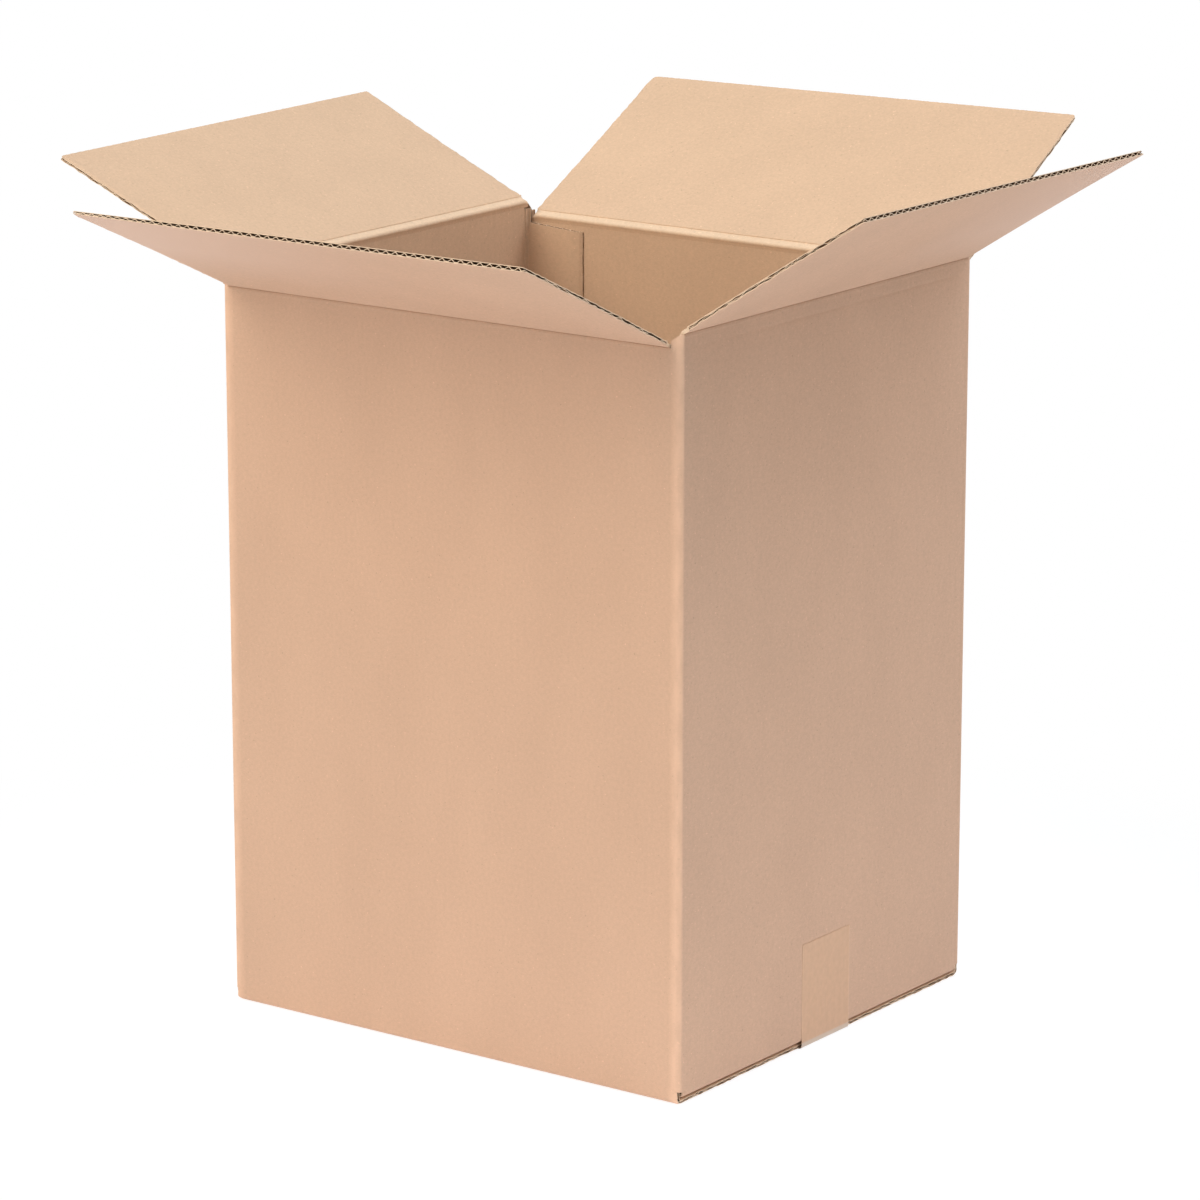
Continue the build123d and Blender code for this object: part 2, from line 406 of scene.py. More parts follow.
# %% [markdown]
# ## Mesh helpers
# Every paper layer is a thin closed slab: one grid of points for its face and one for its back, joined all
# round by a rim. Solids cut with booleans could give the same form, but grids are easy to bend, wave and
# fray with plain arithmetic, and a closed slab gives a clean mesh.

# %% Objects from points


def make_object(name, points, faces, finish, materials, sharp):
    """An object that is smooth across its faces, with sharp edges past an angle in degrees."""
    mesh = bpy.data.meshes.new(name)
    mesh.from_pydata(points.tolist(), [], faces)
    for material in materials:
        mesh.materials.append(material)
    mesh.polygons.foreach_set("material_index", np.asarray(finish, np.int32))
    mesh.shade_smooth()
    mesh.set_sharp_from_angle(angle=math.radians(sharp))
    made = bpy.data.objects.new(name, mesh)
    bpy.context.scene.collection.objects.link(made)
    return made


# %% Slabs from two grids


class Layers:
    """Collects slabs of paper or film into one mesh."""

    def __init__(self, name):
        self.name = name
        self.points = []
        self.faces = []
        self.finish = []

    def slab(self, face, back, face_finish, back_finish, rim_finish):
        """Adds a closed slab. face and back are grids of points, rows by columns by 3."""
        rows, columns, _ = face.shape
        start = sum(len(p) for p in self.points)
        self.points += [face.reshape(-1, 3), back.reshape(-1, 3)]
        index = np.arange(rows * columns).reshape(rows, columns) + start
        below = index + rows * columns

        def quads(a, b, c, d, finish):
            made = np.stack([a.ravel(), b.ravel(), c.ravel(), d.ravel()], -1)
            self.faces.append(made)
            self.finish.append(np.full(len(made), finish))

        quads(index[:-1, :-1], index[:-1, 1:], index[1:, 1:], index[1:, :-1], face_finish)
        quads(below[:-1, :-1], below[1:, :-1], below[1:, 1:], below[:-1, 1:], back_finish)
        for line, under in ((index[0, ::-1], below[0, ::-1]), (index[-1], below[-1]),
                            (index[:, 0], below[:, 0]), (index[::-1, -1], below[::-1, -1])):
            quads(line[:-1], line[1:], under[1:], under[:-1], rim_finish)

    def build(self, materials=papers, sharp=40):
        """The finished object. Each finish is the number of one of the materials."""
        faces = np.concatenate(self.faces)
        print(self.name, len(faces) * 2, "triangles")
        return make_object(self.name, np.concatenate(self.points), faces.tolist(),
                           np.concatenate(self.finish), materials, sharp)


# %% [markdown]
# Cut paper, torn film and crushed board all have edges that wander by a fraction of a
# millimetre. Random offsets at even steps, with straight lines between, give such an edge, and
# a fixed seed makes it the same each run.

# %% Uneven edges


def ripple(seed, length, step, amount):
    """Random offsets at points step apart, read at any distance along an edge."""
    knots = np.random.default_rng(seed).uniform(-1, 1, int(length / step) + 6)
    places = np.arange(len(knots)) * step - 2 * step

    def read(distance):
        return amount * np.interp(distance, places, knots)

    return read


# %% [markdown]
# ## Corrugated board
# Every panel of the box is the same board: two flat papers, 0.4 mm thick, with a wavy paper
# glued between them. Seen end on, the waves are a row of small arches. Seen from the side, a
# cut runs along one channel and leaves a broken dark streak, because the knife tears the wave.
# The points are laid out in the panel's own measures: across the flutes, along them, and
# through the board. The cut sides show the most detail, so they get more points than the rest.

# %% Rows and columns of a panel
side_strip = 1.8 * mm
side_shares = np.array([0, 0.3, 0.6, 1.0])
side_columns = len(side_shares) - 1
side_step = 1.5 * mm
side_gap = 0.2 * mm


def rows_of(near, far, head, tail):
    """Distances along the flutes: head as shares of the panel, then tail as distances from its end."""
    near, far = near[None, :], far[None, :]
    head, tail = np.array(head)[:, None], np.array(tail)[:, None]
    start = far - tail[0]
    return np.concatenate([near + (start - near) * head, far - tail])


def columns_of(low, high, flute_parts):
    """Columns of points, about flute_parts to each flute, and three narrow steps at both sides."""
    evenly = np.linspace(low, high, round((high - low) / flute_pitch * flute_parts) + 1)
    evenly = evenly[(evenly > low + side_strip + side_gap) & (evenly < high - side_strip - side_gap)]
    steps = side_strip * side_shares
    return np.concatenate([low + steps, evenly, high - steps[::-1]])


# %% [markdown]
# One function makes all three layers of any panel, and a place function then bends the panel's
# measures into the box. The flat papers sink a little between the crests, which gives the
# washboard lines of real board. The crests of the wave are pressed flat where they are glued,
# and more widely at the outer paper. At the cut sides the papers are pinched and the wave is
# kinked and torn, and at the free end all three are cut with a slightly blunt knife.

# %% Board layers
sag = 0.05 * mm
pinch = 0.50 * mm
end_strip = 3 * mm
wave_paper = 0.46 * mm
glue_gap = 0.03 * mm
wave_height, wave_offset = 1.45, 0.52


def corrugated(made, place, across, shift, near, far, rows, seed, cut=1.0, rough=1.0, end_squash=0.0):
    """Adds the outer, inner and wavy papers of one panel. near and far are its ends in each column.

    rows gives head and tail for the outer paper, the inner paper and the wave. The two cut sides
    get a row of points every side_step instead. cut is where the free end is frayed, rough tears
    the cut sides more, and end_squash is how far each paper is pressed in along the free end.
    """
    first, last = across[0], across[-1]
    width = last - first
    span = float(np.max(far["outer"]) - np.min(near["outer"]))
    side_rows = (np.linspace(0, 1, int(span / side_step), endpoint=False), [0.8 * mm, 0])
    end_squash = end_squash + 0 * across
    ends = [ripple(seed + k, width, 0.9 * mm, 0.15 * mm)(across - first) * cut for k in (0, 1)]
    sides = [ripple(seed + 10 + k, span, 1.6 * mm, 0.18 * mm) for k in range(4)]
    squash = [ripple(seed + 20 + k, span, 3 * mm, 0.30 * mm) for k in (0, 1)]
    wave_end = ripple(seed + 31, width, 1.1 * mm, 0.16 * mm)(across - first) * cut
    tears = [ripple(seed + 32 + k, span, 2.6 * mm, 0.7 * mm * rough) for k in (0, 1)]
    kinks = ripple(seed + 35, span, 2.2 * mm, 0.75 * mm * rough)

    def phase(a):
        return 2 * math.pi * (a / flute_pitch + shift)

    def beside_cut(a):
        """1 at a cut side, and 0 past its strip."""
        return np.clip(1 - np.minimum(a - first, last - a) / side_strip, 0, 1)

    def pressed(b, end, here):
        """How far a paper is pressed in near the free end."""
        return end_squash[here] * np.clip(1 - (end[here] - b) / end_strip, 0, 1)

    def add_flat(layer, here, dense):
        """The outer paper is layer 0, and the inner paper is layer 1."""
        name = ("outer", "inner")[layer]
        a = across[None, here]
        head, tail = side_rows if dense else rows[layer]
        b = rows_of(near[name][here], far[name][here] + ends[layer][here], head, tail)
        frayed = a + np.where(a <= first, sides[2 * layer](b), 0)
        frayed = frayed + np.where(a >= last, sides[2 * layer + 1](b), 0)
        crest = np.cos(phase(a)) * (1 - 2 * layer)
        sunk = sag * (1 - crest) / 2 + (pinch + squash[layer](b)) * beside_cut(a)
        sunk = sunk + pressed(b, far[name], here)
        if layer == 0:
            made.slab(place(frayed, b, sunk), place(frayed, b, liner + sunk), outside, flute, cut_edge)
        else:
            made.slab(place(frayed, b, board - liner - sunk), place(frayed, b, board - sunk),
                      flute, inside, cut_edge)

    def add_wave(here, dense):
        head, tail = side_rows if dense else rows[2]
        end = np.minimum(far["outer"], far["inner"])
        b = rows_of(near["outer"][here], end[here] + wave_end[here], head, tail)
        torn = [np.clip(0.15 * mm + tear(b), 0.03 * mm, None) for tear in tears]
        a = np.clip(across[None, here], first + torn[0], last - torn[1])
        beside = beside_cut(a)
        room = (board / 2 - liner - wave_paper / 2 - glue_gap) * (1 - 0.5 * beside)
        room = room - pressed(b, end, here)
        swing = wave_height * np.cos(phase(a)) + wave_offset
        t = board / 2 - np.clip(swing, -1, 1) * room
        half_paper = wave_paper / 2
        walls = [liner + half_paper + (pinch + squash[k](b)) * beside for k in (0, 1)]
        kinked = np.clip(t + kinks(b) * beside, walls[0], board - walls[1])
        t = np.where(beside > 0, kinked, t)
        slope = wave_height * np.sin(phase(a)) * room * 2 * math.pi / flute_pitch
        slope = np.where(np.abs(swing) >= 1, 0, slope)
        lean = 1 / np.sqrt(1 + slope ** 2)
        made.slab(place(a + slope * lean * half_paper, b, t - lean * half_paper),
                  place(a - slope * lean * half_paper, b, t + lean * half_paper), flute, flute, cut_edge)

    marks = [0, side_columns, len(across) - 1 - side_columns, len(across) - 1]
    for low, high, dense in zip(marks[:-1], marks[1:], (True, False, True)):
        here = slice(low, high + 1)
        add_flat(0, here, dense)
        add_flat(1, here, dense)
        add_wave(here, dense)


# %% [markdown]
# ## Top flaps
# A flap is one panel of the board, laid out from its fold to its free edge. Each flap leans out
# at its own angle, as the photograph shows. A fold gives the three directions in which its flap
# is laid out.

# %% Fold directions
up = np.array([0, 0, 1.0])


class Fold:
    """Directions of one flap: along its fold, away from its fold, and through its board."""

    def __init__(self, middle, along, outward, lean):
        self.middle = np.array(middle, float)
        self.along = np.array(along, float)
        self.outward = np.array(outward, float)
        angle = math.radians(lean)
        self.away = self.outward * math.sin(angle) + up * math.cos(angle)
        self.inner = np.cross(self.away, self.along)

    def points(self, u, s, t):
        """Points u along the fold, s away from it and t through the board from its outer face."""
        u, s, t = np.broadcast_arrays(u, s, t)
        return (self.middle + u[..., None] * self.along + s[..., None] * self.away
                + t[..., None] * self.inner)


# %% [markdown]
# No flap on a real box is quite flat: each is bowed a little and twisted by a millimetre or
# three, and its corners are worn round. Each flap has its own small numbers for that. The front
# flap's left tip is also crushed thin, as it is in the photograph.

# %% Flap sizes
front_shift = 2.3 * mm
right_shift = 1.0 * mm
long_width, long_reach = 320 * mm, 148 * mm
end_width, end_reach = 293 * mm, 139.5 * mm
right_width = end_width + 2 * mm
flaps = {
    "front_flap": dict(
        fold=Fold((-front_shift, -half_width, long_fold), (1, 0, 0), (0, -1, 0), lean=64.5),
        width=long_width, reach=long_reach, tips=(-3.0 * mm, -1.6 * mm), bow=0.6 * mm,
        rounding=(1.5 * mm, 2.0 * mm), shift=0.20, crushed=0.5 * mm),
    "back_flap": dict(
        fold=Fold((0, half_width, long_fold), (-1, 0, 0), (0, 1, 0), lean=60.0),
        width=long_width, reach=long_reach, tips=(1.4 * mm, -2.8 * mm), bow=-1.0 * mm,
        rounding=(1.5 * mm, 4.5 * mm), shift=0.62),
    "right_flap": dict(
        fold=Fold((half_length, -right_shift, end_fold), (0, 1, 0), (1, 0, 0), lean=58.0),
        width=right_width, reach=end_reach, tips=(0.3 * mm, -0.8 * mm), bow=1.0 * mm,
        rounding=(1.5 * mm, 2.0 * mm), shift=0.33),
    "left_flap": dict(
        fold=Fold((-half_length, 0, end_fold), (0, -1, 0), (-1, 0, 0), lean=66.0),
        width=end_width, reach=end_reach, tips=(0.8 * mm, -4.0 * mm), bow=-0.8 * mm,
        rounding=(3.0 * mm, 1.5 * mm), shift=0.15),
}
print("flaps", {name: (flap["width"], flap["reach"]) for name, flap in flaps.items()})

# %% [markdown]
# The heels of a flap, where its side edges meet the fold, are cut back a little, so that the
# flap closes past the slots beside it.

# %% Flap boards
flap_start = 3.3 * mm
heel_rise, heel_run = 1.4 * mm, 4 * mm
flap_squash = 0.10 * mm
crushed_run = 90 * mm


def flap_board(name, seed, fold, width, reach, tips, bow, rounding, shift, crushed=0):
    """One flap. tips lift its free corners, bow its middle, rounding and crushed wear its corners."""
    half = width / 2
    across = columns_of(-half, half, 8)

    def place(u, s, t):
        out = np.clip((s - flap_start) / (reach - flap_start), 0, 1)
        share = np.clip(u / half, -1, 1)
        tip = (tips[0] * (1 - share) + tips[1] * (1 + share)) / 2
        lift = tip * out ** 1.2 + bow * np.sin(math.pi * out) * (1 - 0.5 * share ** 2)
        return fold.points(u, s, t + lift)

    corner = np.zeros_like(across)
    for radius, distance in ((rounding[0], half + across), (rounding[1], half - across)):
        short = np.clip(1 - distance / radius, 0, 1)
        corner += radius * (1 - np.sqrt(1 - short ** 2))
    near = flap_start + heel_rise * np.clip(1 - (half - np.abs(across)) / heel_run, 0, 1)
    far = reach - corner
    rows = (np.linspace(0, 0.9, 8), [5 * mm, 1.8 * mm, 0])
    squashed = flap_squash + crushed * np.clip(1 - (half + across) / crushed_run, 0, 1)
    made = Layers(name)
    corrugated(made, place, across, shift, {"outer": near, "inner": near}, {"outer": far, "inner": far},
               [rows] * 3, seed, rough=1.3, end_squash=squashed)
    return made.build()


for number, (name, shape) in enumerate(flaps.items()):
    flap = flap_board(name + "_board", 100 * (number + 1), **shape)
    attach(flap, name)
    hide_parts(name)

# %% [markdown]
# ## Folds
# A scoring wheel crushes the board where a flap folds. The inner paper then stretches over the fold as a
# soft pale ridge, made paler still by a painted sheen, and the outer paper creases sharply. One closed band
# per fold follows the wall below, goes over the crease and runs out onto the flap.

# %% Profile of a crease
proud = 0.03 * mm
ridge_depths = (3.42, 3.50, 3.42, 3.24, 3.02, 2.84, 2.72)


def crease_profile(fold):
    """The outer and inner lines of the band, each from one end to the other, and its crest."""
    inward = -fold.outward

    def on_wall(height, depth):
        return height * mm * up + depth * inward

    def on_flap(distance, depth):
        return distance * mm * fold.away + depth * fold.inner

    crest = on_wall(0, 1) + on_flap(0, 1)
    crest = crest / np.linalg.norm(crest)
    dip, dent = 0.06 * mm, 0.26 * mm
    outer = [on_wall(-2.6, dip), on_wall(-2.3, -proud), on_wall(-1.3, -proud), on_wall(-0.6, dip),
             on_wall(-0.2, dent), 0.5 * mm * crest, on_flap(0.2, dent), on_flap(0.6, dip),
             on_flap(1.5, -proud), on_flap(3.8, -proud), on_flap(4.3, 0.08 * mm)]
    full = math.acos(float(np.dot(inward, fold.inner)))
    arc = []
    for k, depth in enumerate(ridge_depths):
        share = k / (len(ridge_depths) - 1)
        turned = math.sin((1 - share) * full) * inward + math.sin(share * full) * fold.inner
        arc.append(depth * mm * turned / math.sin(full))
    end = board - 0.1 * mm
    inner = [on_flap(4.9, end), on_flap(4.5, board + proud), on_flap(4.0, 2.9 * mm),
             on_flap(3.2, 2.62 * mm), on_flap(2.2, 2.56 * mm), on_flap(1.1, 2.62 * mm), *arc[::-1],
             on_wall(-0.45, 3.16 * mm), on_wall(-1.0, board + proud), on_wall(-2.3, board + proud),
             on_wall(-2.6, end)]
    return outer, inner, crest


# %% [markdown]
# The ridge of a fold is uneven, because the stretched paper crumples, and it is low at both ends
# of the fold. Each line of the profile follows the crumpling by its own share.

# %% Crease bands
crease_step = 1.2 * mm
outer_share = [0, 0, 0, 0, 0.5, 1.0, 0.5, 0, 0, 0, 0]
inner_share = [0, 0, 0, 0.5, 0.8, 1.0, 1.0, 1.0, 1.0, 1.0, 0.9, 0.7, 0.4, 0, 0, 0, 0]
# The crest of the inner paper takes the fold paper, paler partly as a painted sheen.
inner_finish = [inside] * 2 + [stretched_and_sheen] * 11 + [inside] * 3
end_drop, end_run = 1.2 * mm, 4.5 * mm


def crease_band(name, fold, width, seed):
    """The crushed strip of board across one fold, as a closed tube of points."""
    u_line = np.linspace(-width / 2, width / 2, int(width / crease_step) + 1)
    outer, inner, crest = crease_profile(fold)
    ring = np.array(outer + inner)
    points = fold.middle + ring[:, None, :] + u_line[None, :, None] * fold.along
    ends = np.clip((width / 2 - np.abs(u_line)) / end_run, 0, 1)
    crumple = ripple(seed, width, 3 * mm, 0.09 * mm)(u_line + width / 2) - end_drop * (1 - ends) ** 2
    uneven = ripple(seed + 1, width, 5 * mm, 0.07 * mm)(u_line + width / 2)
    push = np.concatenate([np.outer(outer_share, uneven), np.outer(inner_share, crumple)])
    points = points + push[..., None] * crest
    rows, count = points.shape[:2]
    index = np.arange(rows * count).reshape(rows, count)
    following = np.roll(index, -1, axis=0)
    sides = np.stack([index[:, :-1], index[:, 1:], following[:, 1:], following[:, :-1]], -1)
    faces = sides.reshape(-1, 4).tolist() + [index[:, 0].tolist(), index[::-1, -1].tolist()]
    strips = [outside] * (len(outer) - 1) + [cut_edge] + inner_finish + [cut_edge]
    finish = np.repeat(strips, count - 1).tolist() + [cut_edge, cut_edge]
    made = make_object(name, points.reshape(-1, 3), faces, finish, papers, sharp=50)
    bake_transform(made)
    print(name, len(faces), "faces")


for number, (name, shape) in enumerate(flaps.items()):
    band_width = shape["width"] - 0.3 * mm
    crease_band(name.replace("flap", "fold"), shape["fold"], band_width, 900 + 10 * number)

# %% [markdown]
# ## Paths
# Board and tape both run straight and turn through a right angle, again and again: the walls
# round the box, a bottom flap under its wall, the tape over the bottom edges. So one path does
# for all three. It is a line of straight pieces with a quarter turn to the left between them.

# %% Straight pieces and quarter turns


class Path:
    """Straight pieces joined by quarter turns to the left, all measured along one distance."""

    def __init__(self, start, way, radius, straights):
        self.radius = radius
        self.quarter = radius * math.pi / 2
        self.pieces = []
        point, way = np.array(start, float), np.array(way, float)
        for length in straights:
            side = np.array([-way[1], way[0]])
            self.pieces.append((length, point, way, side, False))
            point = point + length * way
            self.pieces.append((self.quarter, point, way, side, True))
            point, way = point + radius * (way + side), side
        self.pieces.pop()
        self.starts = np.concatenate([[0], np.cumsum([piece[0] for piece in self.pieces])])
        self.length = self.starts[-1]
        self.bends = self.starts[1:-1:2] + self.quarter / 2

    def at(self, distance):
        """The point and the direction to its left at each distance. Both ends run on straight."""
        distance = np.asarray(distance, float)
        point = np.zeros(distance.shape + (2,))
        left = np.zeros(distance.shape + (2,))
        edges = [-np.inf, *self.starts[1:-1], np.inf]
        for k, (_, start, way, side, turns) in enumerate(self.pieces):
            here = (distance >= edges[k]) & (distance < edges[k + 1])
            d = (distance[here] - self.starts[k])[:, None]
            if turns:
                sine, cosine = np.sin(d / self.radius), np.cos(d / self.radius)
                point[here] = start + self.radius * (sine * way + (1 - cosine) * side)
                left[here] = cosine * side - sine * way
            else:
                point[here] = start + d * way
                left[here] = side
        return point, left


# %% [markdown]
# ## Walls
# The four walls and the glue tab are one strip of board, bent round four upright corners. The
# strip is laid out flat, and its first measure is the distance from the tab's cut edge, round
# the box to the raw edge of the back panel. The path follows the outer face, so the direction
# to its left points into the box.

# %% Path round the box
tab_reach = 46 * mm
tab_face = half_width - board
tab_run = tab_reach - corner_bend
straight = half_length - corner_bend
straight_width = half_width - corner_bend
round_box = Path((-half_length + tab_reach, tab_face), (-1, 0), corner_bend, [
    tab_run, tab_face - corner_bend + straight_width, 2 * straight, 2 * straight_width, 2 * straight])
left_panel_start = round_box.starts[2]
print("strip of board", round_box.length, "corners at", round_box.bends)

# %% [markdown]
# The tops of the walls differ, so each column of points is first sorted by what stands above
# it: a long flap, an end flap, nothing but a cut, or the slanted top of the tab. Where that
# changes, two columns stand close together, so that the step in the top stays sharp.

# %% What ends each column of the walls
cut_kind, long_kind, end_kind, tab_kind = range(4)


def kind_of(distance):
    """Which of the four kinds of top a column has: a cut, a long or an end flap, or the tab."""
    xy, inward = round_box.at(distance)
    x, y = xy[:, 0], xy[:, 1]
    under_front = (inward[:, 1] > 0.999) & (np.abs(x + front_shift) < long_width / 2 + 0.4 * mm)
    under_back = (inward[:, 1] < -0.999) & (np.abs(x) < long_width / 2 - 0.05 * mm)
    under_back = under_back & (distance > round_box.length / 2)
    under_right = (x > 0) & (np.abs(y + right_shift) < right_width / 2)
    kind = np.full(np.shape(distance), cut_kind)
    kind[under_front | under_back] = long_kind
    kind[(np.abs(y) < end_width / 2) | under_right] = end_kind
    kind[distance < tab_run - 0.7 * mm] = tab_kind
    return kind


probe = np.linspace(0, round_box.length, 40001)
changes = probe[1:][np.diff(kind_of(probe)) != 0]
near_bends = [np.arange(middle - 5 * mm, middle + 5 * mm, 0.45 * mm) for middle in round_box.bends]
across = np.unique(np.concatenate(
    [columns_of(0, round_box.length, 6)] + near_bends + [changes - 0.04 * mm, changes + 0.005 * mm]))
kind = kind_of(across)
print("walls", len(across), "columns, the top changes at", changes)

# %% [markdown]
# Under each fold the papers stop just below the band. At the slots between the flaps they end
# in a plain cut that rises towards the end panels. The tab's top slants down, so that it slips
# into place. The feet of the walls end where the bottom boards begin.

# %% Tops and feet of the walls
slot_floor = long_fold + 2.5 * mm
slot_low, slot_climb = 1.6 * mm, 4.4 * mm
tab_top, tab_slant = 438.6 * mm, 0.065
below_fold = 0.3 * mm
wall_foot = 8 * mm
tab_foot, tab_foot_rise = 10.5 * mm, 2.5 * mm
bend_reach = 3.3 * mm


def distance_to(chosen):
    """The distance from each column to the nearest of the chosen ones."""
    return np.array([np.min(np.abs(across[chosen] - d)) for d in across])


to_end = distance_to(kind == end_kind)
to_long = distance_to((kind == long_kind) | (kind == tab_kind))
slot_rise = slot_low + slot_climb * to_long / np.maximum(to_long + to_end, 1e-6)
tops = {
    cut_kind: slot_floor + slot_rise,
    long_kind: long_fold - below_fold,
    end_kind: end_fold - below_fold,
    tab_kind: tab_top - tab_slant * np.clip(tab_run - across, 0, None),
}
outer_top = np.zeros_like(across)
for number, top in tops.items():
    outer_top = np.where(kind == number, top, outer_top)
under_fold = (kind == long_kind) | (kind == end_kind)
inner_top = outer_top - np.where(under_fold, 1.4 * mm, 0)
to_bend = np.min([np.abs(across - middle) for middle in round_box.bends], axis=0)
inner_top = np.where((kind == cut_kind) | (to_bend < bend_reach),
                     np.minimum(inner_top, end_fold - 3.3 * mm), inner_top)
tab_foot_line = tab_foot + tab_foot_rise * np.clip(1 - across / tab_run, 0, 1)
foot = np.where(kind == tab_kind, tab_foot_line, wall_foot)
print("tops from", float(outer_top.min()), "to", float(outer_top.max()))

# %% [markdown]
# At each upright corner the scored board is squashed, so the outside is a little crinkled,
# stands out as a soft ridge and dips beside it, and the inside paper bulges into the box. A
# second, shallow score runs across the end panels below their folds, and the glue tab's edge
# is pressed thin. All of it is worked into the depth of the points, so it is real shape.

# %% Measures of the squashed corners, the score and the tab
corner_bulge, corner_spread = 0.75 * mm, 2.4 * mm
ridge_height, ridge_shift = 0.9 * mm, 1.0 * mm
dip_depth, dip_place, dip_spread = 0.09 * mm, 5.4 * mm, 0.9 * mm
score_height, score_depth, score_spread = end_fold - 8.8 * mm, 0.22 * mm, 1.15 * mm
tab_thinned, tab_thinned_run, tab_pressed = 1.4 * mm, 7 * mm, 0.38 * mm
tab_crease, tab_crease_place, tab_crease_spread = 0.3 * mm, 27 * mm, 0.9 * mm
crushed_above, crush_share, crush_run = 437 * mm, 0.62, 5 * mm
crinkle = ripple(700, 0.5, 4 * mm, 0.10 * mm)
uneven_score = ripple(701, 1.4, 40 * mm, 0.35)
print("ridge of", ridge_height, "at the corners, score of", score_depth, "at", score_height)

# %% Corners and tab


def bell(distance, spread):
    """A smooth hump, 1 in its middle."""
    return np.exp(-(distance / spread) ** 2)


def corner_ridge(distance, height):
    """How far the outer face stands out round each upright corner."""
    ridge = 0
    half_bend = round_box.quarter / 2
    for middle in round_box.bends:
        past = distance - middle - ridge_shift
        before = np.clip(1 + past / (half_bend + ridge_shift), 0, 1) ** 2
        after = np.clip(1 - past / (half_bend - ridge_shift), 0, 1) ** 2
        ridge = ridge + np.where(past < 0, before, after) * (ridge_height + 0.5 * crinkle(height + 0.03))
    return ridge


def tab_depth(distance, height, depth, share):
    """The depth in the tab: its edge pressed thin, its top crushed, and one upright crease."""
    depth = depth - tab_thinned * np.clip(1 - distance / tab_thinned_run, 0, 1) ** 1.5 * share
    depth = depth - tab_pressed * np.clip(1 - distance / side_strip, 0, 1)
    above = np.clip((height - crushed_above) / (2.5 * mm), 0, 1) * (distance < left_panel_start)
    beside = np.clip(1 - np.abs(distance - tab_run) / crush_run, 0, 1)
    depth = depth * (1 - crush_share * above * beside)
    return depth - tab_crease * bell(distance - tab_crease_place, tab_crease_spread) * share


# %% Places in the walls


def wall_place(distance, height, depth):
    """Points of the walls: distance round the box, height and depth into the board."""
    distance, height, depth = np.broadcast_arrays(distance, height, depth)
    xy, inward = round_box.at(distance)
    share = depth / board
    at_corner = sum(bell(distance - middle, corner_spread) for middle in round_box.bends)
    depth = depth + at_corner * (corner_bulge * share ** 2 + crinkle(height) * (1 - 0.4 * share))
    depth = depth - corner_ridge(distance, height) * (1 - share)
    beside = sum(bell(np.abs(distance - middle) - dip_place, dip_spread) for middle in round_box.bends)
    depth = depth + dip_depth * beside * (1 - share)
    on_end = (np.abs(inward[..., 0]) > 0.9) & (np.abs(xy[..., 1]) < end_width / 2 - 0.5 * mm)
    scored = score_depth * bell(height - score_height, score_spread) * on_end
    depth = depth + scored * (0.8 + uneven_score(distance)) * (1 - share)
    depth = tab_depth(distance, height, depth, share)
    return np.concatenate([xy + depth[..., None] * inward, height[..., None]], -1)


# %% [markdown]
# With the place function, the walls are one call. Their outer paper has more rows near the
# top, where the shallow score is.

# %% Wall board
wall_head = [0, 0.3, 0.6, 0.97]
score_rows = [11.6, 10.3, 9.4, 8.8, 8.2, 7.3, 6, 2, 0]
wall_rows = [(wall_head, np.array(score_rows) * mm), (wall_head, [3 * mm, 0]), ([0, 0.5, 0.97], [2 * mm, 0])]
frayed_top = np.where((kind == cut_kind) | (kind == tab_kind), 1.0, 0.0)
walls = Layers("wall_board")
corrugated(walls, wall_place, across, 0.3, {"outer": foot, "inner": foot},
           {"outer": outer_top, "inner": inner_top}, wall_rows, 600, cut=frayed_top)
walls = walls.build()
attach(walls, "box")
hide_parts("box_shell")

# %% [markdown]
# ## Bottom flaps
# Each wall turns under at its foot and becomes a bottom flap. The two long ones lie on the
# floor and almost meet in the middle. The two end ones lie on top of them, inside. The cut side
# edges of the long ones show along the foot of the end panels. Where the tape runs under the
# long ones, their lower faces lie a little higher, to leave room for it.

# %% Bottom boards
floor_bend = 4 * mm
bend_steps = 6
taped_half, taped_run, taped_lift = 26 * mm, 0.8 * mm, 0.17 * mm


def bottom_board(name, start, way, level, half, reach, shift, seed):
    """One bottom flap. start is the middle of the wall's face and way runs along the wall."""
    start, way = np.array(start, float), np.array(way, float)
    side = np.array([way[1], -way[0], 0])
    drop = wall_foot - level - floor_bend
    under = Path((0, wall_foot), (0, -1), floor_bend, [drop, reach - floor_bend])

    def place(a, b, t):
        a, b, t = np.broadcast_arrays(a, b, t)
        line, through = under.at(b)
        inner, height = np.moveaxis(line + t[..., None] * through, -1, 0)
        points = start + a[..., None] * way + inner[..., None] * side
        points[..., 2] = height
        if level == 0:
            taped = np.clip((taped_half - np.abs(points[..., 1])) / taped_run, 0, 1)
            points[..., 2] += taped_lift * taped * np.clip(1 - t / board, 0, 1)
        return points

    across = columns_of(-half, half, 5)
    near = np.zeros_like(across)
    far = np.full_like(across, under.length)
    tail = [8 * mm, 0]
    bend = np.linspace(drop, drop + under.quarter, bend_steps + 1) / (under.length - tail[0])
    made = Layers(name)
    corrugated(made, place, across, shift, {"outer": near, "inner": near}, {"outer": far, "inner": far},
               [([0, *bend, 0.5], tail)] * 3, seed, rough=1.9)
    made = made.build()
    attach(made, "box")
    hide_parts("box_shell")


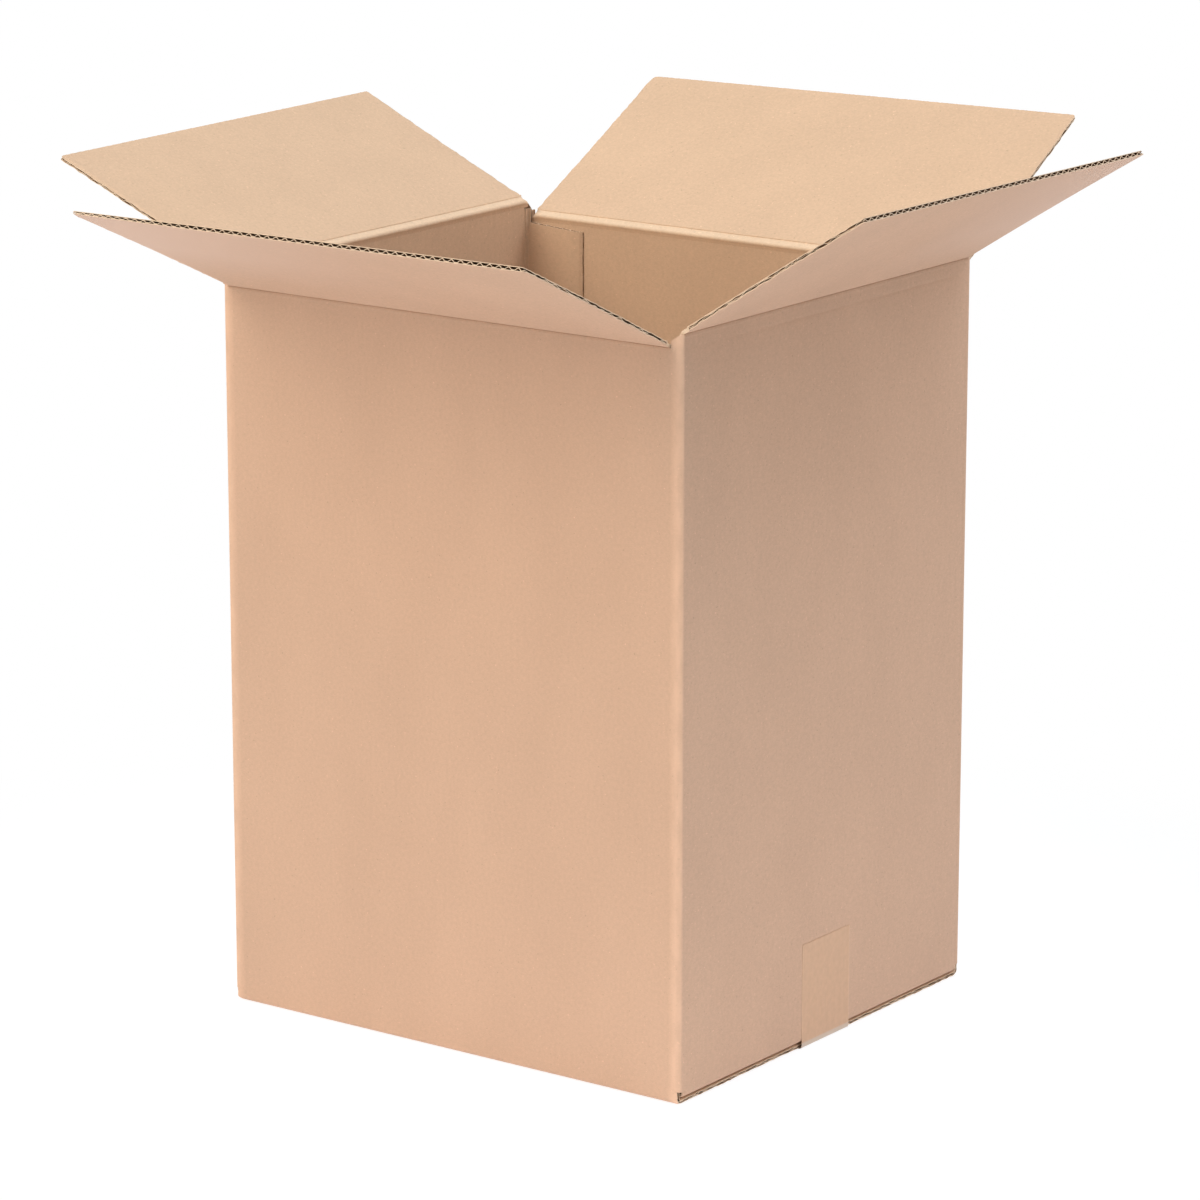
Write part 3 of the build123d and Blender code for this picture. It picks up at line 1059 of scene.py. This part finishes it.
long_bottom = dict(level=0, half=half_length - 2 * mm, reach=148 * mm)
end_bottom = dict(level=3.5 * mm, half=half_width - 4 * mm, reach=144.5 * mm)
bottom_board("front_bottom_board", (0, -half_width, 0), (-1, 0, 0), shift=0.28, seed=1000, **long_bottom)
bottom_board("back_bottom_board", (0, half_width, 0), (1, 0, 0), shift=0.41, seed=1100, **long_bottom)
bottom_board("left_bottom_board", (-half_length, 0, 0), (0, 1, 0), shift=0.1, seed=1200, **end_bottom)
bottom_board("right_bottom_board", (half_length, 0, 0), (0, -1, 0), shift=0.6, seed=1300, **end_bottom)

# %% [markdown]
# ## Tape
# The tape is a thin plastic film over the seam, almost the colour of the paper under it. It runs
# up one end panel, under the box and up the other. Its ends were torn on a saw-toothed cutter,
# and it follows the washboard of the board a little. A strip of points along a path gives all
# of that.

# %% Tape strip
tape_half, tape_climb, tape_turn = 25 * mm, 65 * mm, 2 * mm
film_thick, film_rim, film_clear = 0.15 * mm, 0.02 * mm, 0.01 * mm
tooth_depth, tooth_points = 0.75 * mm, 79
film_steps = (25, 5, 39, 5, 25)
round_foot = Path((-half_length, tape_climb), (0, -1), tape_turn,
                  [tape_climb - tape_turn, 2 * (half_length - tape_turn), tape_climb - tape_turn])


def tape_strip():
    """The face and the back of the film, which follows the end panels and the underside."""
    y = np.linspace(-tape_half, tape_half, tooth_points)
    tooth = np.where(np.arange(tooth_points) % 2 == 0, 0.0, tooth_depth)
    torn = [ripple(seed, 0.06, 2.4 * mm, 0.25 * mm)(y + tape_half) for seed in (1501, 1502)]
    marks = [np.linspace(round_foot.starts[k], round_foot.starts[k + 1], count + 1)[1:]
             for k, count in enumerate(film_steps)]
    rows = [np.full_like(y, mark) for mark in np.concatenate(marks)[:-1]]
    b = np.array([tooth + torn[0], *rows, round_foot.length - tooth[::-1] - torn[1]])
    puff = ripple(1503, round_foot.length, 7 * mm, 0.03 * mm)(b) * np.cos(2 * math.pi * y / flute_pitch)
    rim = np.clip(1 - (tape_half - np.abs(y)) / (0.5 * mm), 0, 1)
    line, inward = round_foot.at(b)

    def lifted(lift):
        """Points of the film, lift away from the board. Nothing goes below the floor."""
        x = line[..., 0] - inward[..., 0] * lift
        z = line[..., 1] - inward[..., 1] * lift
        z = z + film_thick * np.clip(1 - line[..., 1] / tape_turn, 0, 1)
        return np.stack([x, np.broadcast_to(y, x.shape), np.maximum(z, film_clear)], -1)

    return lifted(film_thick + puff + film_rim * rim), lifted(0 * b)


tape_layers = Layers("tape_strip")
tape_layers.slab(*tape_strip(), 0, 0, 0)
print("tape", round_foot.length, "long")

# %% [markdown]
# Close up the film has long faint streaks and small trapped bubbles. Its long edges catch the light as thin
# pale lines, which are a painted highlight over a slightly raised rim. At the foot of the end panels, where
# it turns under, it is greyer with a painted grey-white sheen.

# %% Tape film
tape_film = bpy.data.materials.new("tape_film")
tape_film.use_nodes = True
film_tree = tape_film.node_tree
film = film_tree.nodes["Principled BSDF"]
film_place = node(film_tree, "ShaderNodeTexCoord").outputs["Object"]
streaks = noise(film_tree, film_place, (0.05, 1, 0.05), 900)
bubbles = noise(film_tree, film_place, (1, 1, 1), 300)
film_x, film_y, film_z = xyz(film_tree, film_place)
rim_highlight = rise(film_tree, maths(film_tree, "ABSOLUTE", film_y), tape_half - 0.9 * mm, 0.8 * mm)
foot_sheen = rise(film_tree, film_z, 4.2 * mm, -1.2 * mm)
foot_sheen_ends = rise(film_tree, maths(film_tree, "ABSOLUTE", film_x), half_length - 3 * mm, 1.5 * mm)
foot_sheen = maths(film_tree, "MULTIPLY", foot_sheen, foot_sheen_ends)
tone = mottle(film_tree, linear(211, 170, 138), streaks, 0.98)
tone = mottle(film_tree, tone, bubbles, 0.93)
# Painted highlight along the long edges.
tone = mix(film_tree, "MIX", maths(film_tree, "MULTIPLY", rim_highlight, 0.45), tone, linear(228, 194, 162))
# Painted grey-white sheen where the film turns under at the foot.
tone = mix(film_tree, "MIX", maths(film_tree, "MULTIPLY", foot_sheen, 0.8), tone, linear(206, 190, 176))
film_tree.links.new(tone, film.inputs["Base Color"])
film.inputs["Roughness"].default_value = 0.42
film.inputs["Specular IOR Level"].default_value = 0.35
film_bump = node(film_tree, "ShaderNodeBump", Strength=0.15, Distance=0.3 * mm)
film_tree.links.new(bubbles, film_bump.inputs["Height"])
film_tree.links.new(film_bump.outputs["Normal"], film.inputs["Normal"])

tape_piece = tape_layers.build((tape_film,), sharp=60)
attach(tape_piece, "box")
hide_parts("bottom_tape")
